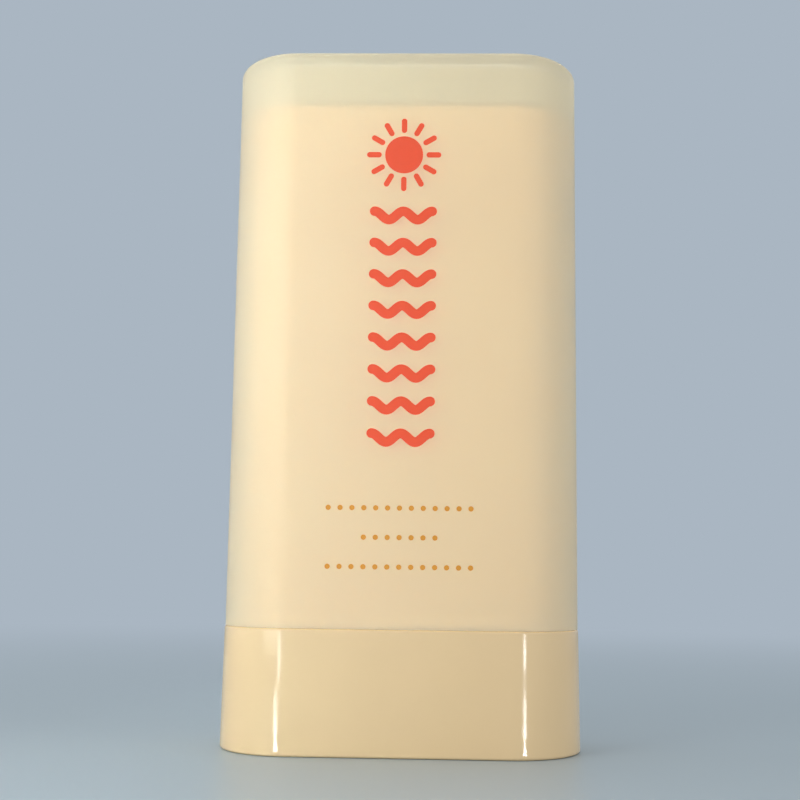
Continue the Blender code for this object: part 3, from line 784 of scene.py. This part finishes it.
def make_base_plate():
    """Bottom plate with the dial's hole; its two end walls hold the barrel's flange up to the shelf."""
    wall_top = plate_high.z
    rings = [base_ring(PLATE_THICKNESS, SHELL_INSIDE + PLATE_WALL)]
    rings += fillet(base_ring, wall_top, SHELL_INSIDE + PLATE_WALL, SOFT_RADIUS, UP, OUTWARD)
    rings += fillet(base_ring, wall_top, SHELL_INSIDE, SOFT_RADIUS, UP, INWARD)[::-1]
    rings += fillet(base_ring, 0, SHELL_INSIDE, FOOT_RADIUS, DOWN, INWARD)
    plate = loft("bottom_plate", rings)
    form = bmesh.new()
    bmesh.ops.create_cube(form, size=1)
    size = (2 * PLATE_WALL_REACH, FOOT_DEPTH + 2 * OVERRUN, wall_top - PLATE_THICKNESS + OVERRUN)
    bmesh.ops.scale(form, vec=size, verts=form.verts)
    bmesh.ops.translate(form, vec=(0, 0, (PLATE_THICKNESS + wall_top + OVERRUN) / 2), verts=form.verts)
    cut(plate, new_piece("wall_gap", form))
    rim = DIAL_HOLE_RADIUS + FOOT_RADIUS
    cut(plate, turned("dial_hole_cut", [
        (rim, -OVERRUN),
        (rim, 0),
        (DIAL_HOLE_RADIUS, FOOT_RADIUS),
        (DIAL_HOLE_RADIUS, PLATE_THICKNESS + OVERRUN),
    ]))
    return plate


# Print


def stroke(path, width):
    """Outline of a line of ink with round ends that follows a path of (x, z) points."""
    points = [Vector(point) for point in path]
    last = len(points) - 1
    ways = []
    for here in range(last + 1):
        ways.append((points[min(here + 1, last)] - points[max(here - 1, 0)]).normalized())
    half = width / 2
    left = [point + half * Vector((-way.y, way.x)) for point, way in zip(points, ways)]
    right = [point - half * Vector((-way.y, way.x)) for point, way in zip(points, ways)]
    outline = left + round_end(points[last], ways[last], half)
    outline += right[::-1] + round_end(points[0], -ways[0], half)
    return outline


def round_end(centre, way, radius):
    """The half circle that closes a stroke, from its left side round to its right side."""
    lean = math.atan2(way.y, way.x)
    points = []
    for step in range(1, INK_STEPS):
        angle = lean + math.pi / 2 - math.pi * step / INK_STEPS
        points.append(centre + radius * Vector((math.cos(angle), math.sin(angle))))
    return points


def disc(x, z, radius):
    """Outline of a round dot of ink."""
    angles = [2 * math.pi * step / (4 * INK_STEPS) for step in range(4 * INK_STEPS)]
    return [Vector((x + radius * math.cos(angle), z + radius * math.sin(angle))) for angle in angles]


def ink(name, outlines):
    """A thin film of ink for each outline, just off the cap's front and leaning back with its draft."""
    form = bmesh.new()
    for outline in outlines:
        sides = []
        for lift in (INK_LIFT, INK_LIFT + INK_DEPTH):
            ring = []
            for x, z in outline:
                y = -between(MOUTH_DEPTH, CROWN_DEPTH, cap_share(z)) / 2 - lift
                ring.append(form.verts.new((x, y, z)))
            sides.append(ring)
        back, front = sides
        form.faces.new(back[::-1])
        form.faces.new(front)
        skin(form, back, front)
    return new_piece(name, form)


def make_sun_print():
    """Coral sun with short rays over a column of waves."""
    outlines = [disc(0, SUN_Z, SUN_RADIUS)]
    for ray in range(RAY_COUNT):
        angle = 2 * math.pi * ray / RAY_COUNT
        path = []
        for reach in (RAY_START, RAY_END):
            path.append((reach * math.sin(angle), SUN_Z + reach * math.cos(angle)))
        outlines.append(stroke(path, RAY_WIDTH))
    for row in range(WAVE_COUNT):
        path = []
        for step in range(WAVE_STEPS + 1):
            share = step / WAVE_STEPS
            swing = WAVE_SWING * math.cos(2 * math.pi * WAVE_CRESTS * share)
            path.append(((share - 0.5) * WAVE_WIDTH, WAVE_TOP_Z - row * WAVE_PITCH + swing))
        outlines.append(stroke(path, WAVE_STROKE))
    return ink("sun_print", outlines)


def make_rule_print():
    """Three amber dotted rules."""
    outlines = []
    for row, count in enumerate(RULE_DOTS):
        for dot in range(count):
            x = (dot - (count - 1) / 2) * DOT_PITCH
            outlines.append(disc(x, RULE_Z - row * RULE_PITCH, DOT_RADIUS))
    return ink("rule_print", outlines)


# Finishes


def finish_nodes(name):
    """A new material, its node tree and its shader."""
    finish = bpy.data.materials.new(name)
    finish.use_nodes = True
    tree = finish.node_tree
    return finish, tree, tree.nodes["Principled BSDF"]


def noise(tree, scale, detail=2.0):
    """Noise in the object's own metres."""
    place = tree.nodes.new("ShaderNodeTexCoord")
    texture = tree.nodes.new("ShaderNodeTexNoise")
    texture.inputs["Scale"].default_value = scale
    texture.inputs["Detail"].default_value = detail
    tree.links.new(place.outputs["Object"], texture.inputs["Vector"])
    return texture.outputs["Fac"]


def vary_colour(tree, shader, colour, spread, scale=DRIFT_SCALE):
    """Base colour that drifts a little either side of its middle value."""
    ramp = tree.nodes.new("ShaderNodeValToRGB")
    stops = zip(ramp.color_ramp.elements, (1 - spread, 1 + spread), (NOISE_LOW, NOISE_HIGH))
    for stop, share, place in stops:
        stop.position = place
        stop.color = (*(min(channel * share, 1.0) for channel in colour[:3]), 1.0)
    tree.links.new(noise(tree, scale, DRIFT_DETAIL), ramp.inputs["Fac"])
    tree.links.new(ramp.outputs["Color"], shader.inputs["Base Color"])


def vary_roughness(tree, shader, low, high, scale=POLISH_SCALE):
    """Roughness that drifts between two values."""
    band = tree.nodes.new("ShaderNodeMapRange")
    band.inputs["From Min"].default_value = NOISE_LOW
    band.inputs["From Max"].default_value = NOISE_HIGH
    band.inputs["To Min"].default_value = low
    band.inputs["To Max"].default_value = high
    tree.links.new(noise(tree, scale, DRIFT_DETAIL), band.inputs["Value"])
    tree.links.new(band.outputs["Result"], shader.inputs["Roughness"])


def add_bump(tree, shader, layers):
    """Stacked bumps, each of (noise scale per metre, height in metres)."""
    normal = None
    for scale, height in layers:
        bump = tree.nodes.new("ShaderNodeBump")
        bump.inputs["Distance"].default_value = height
        tree.links.new(noise(tree, scale), bump.inputs["Height"])
        if normal:
            tree.links.new(normal, bump.inputs["Normal"])
        normal = bump.outputs["Normal"]
    tree.links.new(normal, shader.inputs["Normal"])


def mix_shaders(tree, share, first, second, output="Material Output"):
    """The output shows the first shader where share is 0 and the second where it is 1."""
    mix = tree.nodes.new("ShaderNodeMixShader")
    tree.links.new(share, mix.inputs["Fac"])
    tree.links.new(first, mix.inputs[1])
    tree.links.new(second, mix.inputs[2])
    tree.links.new(mix.outputs["Shader"], tree.nodes[output].inputs["Surface"])


def combine(tree, operation, first, second):
    """Two values taken together by a math node."""
    node = tree.nodes.new("ShaderNodeMath")
    node.operation = operation
    tree.links.new(first, node.inputs[0])
    tree.links.new(second, node.inputs[1])
    return node.outputs[0]


def lets_lamps_through(tree, shader, tint):
    """Shadow rays pass, tinted, so that lamps reach what lies behind a translucent wall."""
    ray = tree.nodes.new("ShaderNodeLightPath")
    clear = tree.nodes.new("ShaderNodeBsdfTransparent")
    clear.inputs["Color"].default_value = tint
    mix_shaders(tree, ray.outputs["Is Shadow Ray"], shader.outputs["BSDF"], clear.outputs["BSDF"])


def plastic(name, colour, roughness, spread=0.015, bumps=((900, 0.004 * MM),)):
    """Moulded plastic: slight drift in colour and polish, and the mould's own fine texture."""
    finish, tree, shader = finish_nodes(name)
    vary_colour(tree, shader, colour, spread)
    vary_roughness(tree, shader, *roughness)
    add_bump(tree, shader, bumps)
    return finish


def frosted(name, colour, tint, transmission, roughness, bumps):
    """Translucent plastic; tint is the colour that lamp light takes on its way through."""
    finish, tree, shader = finish_nodes(name)
    vary_colour(tree, shader, colour, spread=0.01, scale=60)
    shader.inputs["Roughness"].default_value = roughness
    shader.inputs["Transmission Weight"].default_value = transmission
    shader.inputs["IOR"].default_value = CLEAR_IOR
    add_bump(tree, shader, bumps)
    lets_lamps_through(tree, shader, tint)
    return finish


def ink_film(name, colour, tint):
    """Thin satin ink, which tints the lamp light that goes on into the cap."""
    finish = plastic(name, colour, (0.35, 0.45), spread=0.01, bumps=((1800, 0.002 * MM),))
    tree = finish.node_tree
    lets_lamps_through(tree, tree.nodes["Principled BSDF"], tint)
    return finish


def wax(name, colour):
    """Pale sunscreen wax: light spreads under its skin, and its polish drifts where the mould let go."""
    finish, tree, shader = finish_nodes(name)
    vary_colour(tree, shader, colour, spread=0.02, scale=140)
    vary_roughness(tree, shader, low=0.3, high=0.5, scale=180)
    shader.inputs["Subsurface Weight"].default_value = WAX_GLOW
    shader.inputs["Subsurface Radius"].default_value = WAX_REACH_SHARES
    shader.inputs["Subsurface Scale"].default_value = WAX_REACH
    add_bump(tree, shader, ((220, 0.02 * MM), (1600, 0.004 * MM)))
    return finish


# Stage


def place_camera():
    """Camera at the photograph's place: turned and tilted about the stick, then rolled a little."""
    data = bpy.data.cameras.new("photo_camera")
    data.sensor_width = SENSOR
    data.lens = FOCAL_PIXELS / PICTURE_PIXELS * SENSOR
    data.clip_start = CAMERA_NEAR
    data.clip_end = CAMERA_FAR
    camera = bpy.data.objects.new("photo_camera", data)
    bpy.context.scene.collection.objects.link(camera)
    turn = Matrix.Rotation(-CAMERA_TURN, 3, "Z")
    right = Vector((1, 0, 0))
    up = Vector((0, -math.sin(CAMERA_TILT), math.cos(CAMERA_TILT)))
    back = Vector((0, -math.cos(CAMERA_TILT), -math.sin(CAMERA_TILT)))
    rolled_right = right * math.cos(CAMERA_ROLL) + up * math.sin(CAMERA_ROLL)
    rolled_up = up * math.cos(CAMERA_ROLL) - right * math.sin(CAMERA_ROLL)
    axes = Matrix((turn @ rolled_right, turn @ rolled_up, turn @ back)).transposed()
    place = turn @ Vector((CAMERA_SIDE, -CAMERA_DISTANCE, CAMERA_HEIGHT))
    camera.matrix_world = Matrix.Translation(place) @ axes.to_4x4()
    bpy.context.scene.camera = camera


def polar(azimuth, distance, z):
    """A place round the stick: azimuth in degrees from the front, positive to the right."""
    angle = math.radians(azimuth)
    return (distance * math.sin(angle), -distance * math.cos(angle), z)


def rectangle_lamp(name, size):
    """A rectangular lamp that the camera doesn't see."""
    data = bpy.data.lights.new(name, "AREA")
    data.shape = "RECTANGLE"
    data.size, data.size_y = size
    lamp = bpy.data.objects.new(name, data)
    lamp.visible_camera = False
    bpy.context.scene.collection.objects.link(lamp)
    return lamp


def aimed_lamp(name, place, aim, size, level, colour=LAMP_COLOUR, spread=180):
    """A lamp that faces aim; level scales the light that falls there, 1 for plain white."""
    lamp = rectangle_lamp(name, size)
    offset = Vector(aim) - Vector(place)
    lamp.data.energy = level * math.pi ** 2 * offset.length_squared
    lamp.data.color = colour
    lamp.data.spread = math.radians(spread)
    lamp.location = place
    lamp.rotation_euler = offset.to_track_quat("-Z", "Y").to_euler()
    return lamp


def place_lamps():
    """A near key and a gridded strip from the left, which fades towards the middle, and soft fills."""
    middle = Vector((0, 0, TOTAL_HEIGHT / 2))
    aimed_lamp("key", polar(*KEY_PLACE), middle, KEY_SIZE, KEY_LEVEL)
    strip_place = polar(*STRIP_PLACE)
    strip = aimed_lamp("strip", strip_place, STRIP_AIM, STRIP_SIZE, STRIP_LEVEL, STRIP_COLOUR, STRIP_SPREAD)
    strip.visible_glossy = False
    for name, place, level in FILLS:
        fill = aimed_lamp(name, polar(*place), middle, FILL_SIZE, level)
        fill.visible_glossy = False


def place_gleams(receiver):
    """Slim lights for the two upright highlights of the glossy base, which alone receives them.

    Each highlight has a bar that stands in front, for the base's upper part, and tiles that lie on the
    table from the foot outwards, because the lower part mirrors the table.
    """
    group = bpy.data.collections.new("gleam_receivers")
    group.objects.link(receiver)
    for gleam in GLEAMS:
        low = gleam["bar_low"]
        strips = [(gleam["bar_azimuth"], BAR_REACH, (low + BAR_TOP) / 2, BAR_TOP - low, gleam["bar_glow"])]
        for (near, far), glow in zip(TILES, gleam["tile_glows"]):
            strips.append((gleam["tile_azimuth"], (near + far) / 2, TILE_LIFT, far - near, glow))
        for number, (azimuth, reach, z, length, glow) in enumerate(strips):
            way = Vector(polar(azimuth, 1, 0))
            size = (gleam["width_share"] * reach, length)
            lamp = rectangle_lamp(f"{gleam['side']}_gleam_{number}", size)
            lamp.data.energy = glow * math.pi * lamp.data.size * length
            lamp.location = Vector(gleam["foot"]) + way * reach + Vector((0, 0, z))
            if number == 0:
                lamp.rotation_euler = (-way).to_track_quat("-Z", "Y").to_euler()
            else:
                lamp.rotation_euler = (math.pi, 0, math.radians(azimuth))
            lamp.light_linking.receiver_collection = group
            lamp.visible_diffuse = False
            lamp.visible_transmission = False


def light_world(level, shown):
    """Even sky light; the camera, mirrors and clear pieces see the pale backdrop colour instead."""
    world = bpy.data.worlds.new("studio")
    bpy.context.scene.world = world
    world.use_nodes = True
    tree = world.node_tree
    back = tree.nodes["Background"]
    back.inputs["Color"].default_value = (1.0, 1.0, 1.0, 1.0)
    back.inputs["Strength"].default_value = level
    seen = tree.nodes.new("ShaderNodeBackground")
    seen.inputs["Color"].default_value = shown
    seen.inputs["Strength"].default_value = 1.0
    ray = tree.nodes.new("ShaderNodeLightPath")
    direct = combine(tree, "MAXIMUM", ray.outputs["Is Camera Ray"], ray.outputs["Is Glossy Ray"])
    any_view = combine(tree, "MAXIMUM", direct, ray.outputs["Is Transmission Ray"])
    mix_shaders(tree, any_view, back.outputs["Background"], seen.outputs["Background"], "World Output")


def make_floor(colour, shown):
    """Pale satin table top; to the camera it fades into the backdrop's colour away from the stick."""
    form = bmesh.new()
    bmesh.ops.create_circle(form, cap_ends=True, segments=ROUND_STEPS, radius=FLOOR_RADIUS)
    floor = new_piece("floor", form)
    finish, tree, shader = finish_nodes("pale_table")
    shader.inputs["Base Color"].default_value = colour
    shader.inputs["Roughness"].default_value = TABLE_ROUGHNESS
    shader.inputs["Specular IOR Level"].default_value = TABLE_SHEEN
    place = tree.nodes.new("ShaderNodeTexCoord")
    reach = tree.nodes.new("ShaderNodeVectorMath")
    reach.operation = "LENGTH"
    tree.links.new(place.outputs["Object"], reach.inputs[0])
    fade = tree.nodes.new("ShaderNodeMapRange")
    fade.interpolation_type = "SMOOTHSTEP"
    fade.inputs["From Min"].default_value = FADE_START
    fade.inputs["From Max"].default_value = FADE_END
    tree.links.new(reach.outputs["Value"], fade.inputs["Value"])
    ray = tree.nodes.new("ShaderNodeLightPath")
    share = combine(tree, "MULTIPLY", fade.outputs["Result"], ray.outputs["Is Camera Ray"])
    far = tree.nodes.new("ShaderNodeEmission")
    far.inputs["Color"].default_value = shown
    mix_shaders(tree, share, shader.outputs["BSDF"], far.outputs["Emission"])
    floor.data.materials.append(finish)
    floor.location.z = -FLOOR_DROP


# Assembly

# Each piece: its maker, the solid that it stands for, the body that it rides on and its finish
PIECES = (
    (make_overcap, "overcap", "cap", "frosted_cap"),
    (make_inner_lid, "inner_lid", "lid", "milky_lid"),
    (make_balm, "balm", "carrier", "balm"),
    (make_carrier, "carrier", "carrier", "white_drive"),
    (make_barrel, "barrel", "base", "cream_barrel"),
    (make_spindle, "spindle", "dial", "white_drive"),
    (make_friction_ring, "friction_ring", "dial", "ring_rubber"),
    (make_dial, "dial", "dial", "cream_base"),
    (make_base_shell, "base_shell", "base", "cream_base"),
    (make_base_plate, "base_plate", "base", "cream_base"),
)
PRINTS = ((make_sun_print, "coral_ink"), (make_rule_print, "amber_ink"))


def make_finishes():
    """The finishes by the names of their slots, and the two inks."""
    return {
        "frosted_cap": frosted(
            "frosted_cap",
            srgb(255, 246, 223),
            tint=(0.94, 0.90, 0.77, 1.0),
            transmission=0.6,
            roughness=0.52,
            bumps=((2600, 0.004 * MM),),
        ),
        "milky_lid": frosted(
            "milky_lid",
            srgb(240, 238, 230),
            tint=(0.7, 0.7, 0.67, 1.0),
            transmission=0.45,
            roughness=0.35,
            bumps=((1200, 0.003 * MM),),
        ),
        "cream_barrel": plastic("cream_barrel", srgb(255, 222, 172), (0.32, 0.4)),
        "cream_base": plastic("cream_base", srgb(242, 212, 165), (0.10, 0.15), bumps=((120, 0.012 * MM),)),
        "white_drive": plastic("white_drive", srgb(236, 234, 228), (0.4, 0.5)),
        "balm": wax("balm", srgb(248, 240, 222)),
        "coral_ink": ink_film("coral_ink", srgb(255, 90, 53), tint=(1.0, 0.6, 0.48, 1.0)),
        "amber_ink": ink_film("amber_ink", srgb(228, 158, 52), tint=(1.0, 0.9, 0.7, 1.0)),
        "ring_rubber": plastic(
            "ring_rubber",
            srgb(208, 204, 196),
            (0.55, 0.7),
            spread=0.03,
            bumps=((1500, 0.006 * MM),),
        ),
    }


def dress_frame():
    """Every solid of the frame is stood for by its finer piece, on the same body."""
    finishes = make_finishes()
    for make, node, body, slot in PIECES:
        piece = make()
        piece.data.materials.clear()
        piece.data.materials.append(finishes[slot])
        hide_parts(node)
        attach(piece, body)
        if node == "base_shell":
            place_gleams(piece)
    for make, finish in PRINTS:
        piece = make()
        piece.data.materials.append(finishes[finish])
        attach(piece, "cap")


place_camera()
place_lamps()
light_world(SKY_LEVEL, srgb(*BACKDROP))
make_floor(srgb(*TABLE), srgb(*BACKDROP))
dress_frame()

bpy.context.scene.view_settings.view_transform = "Standard"
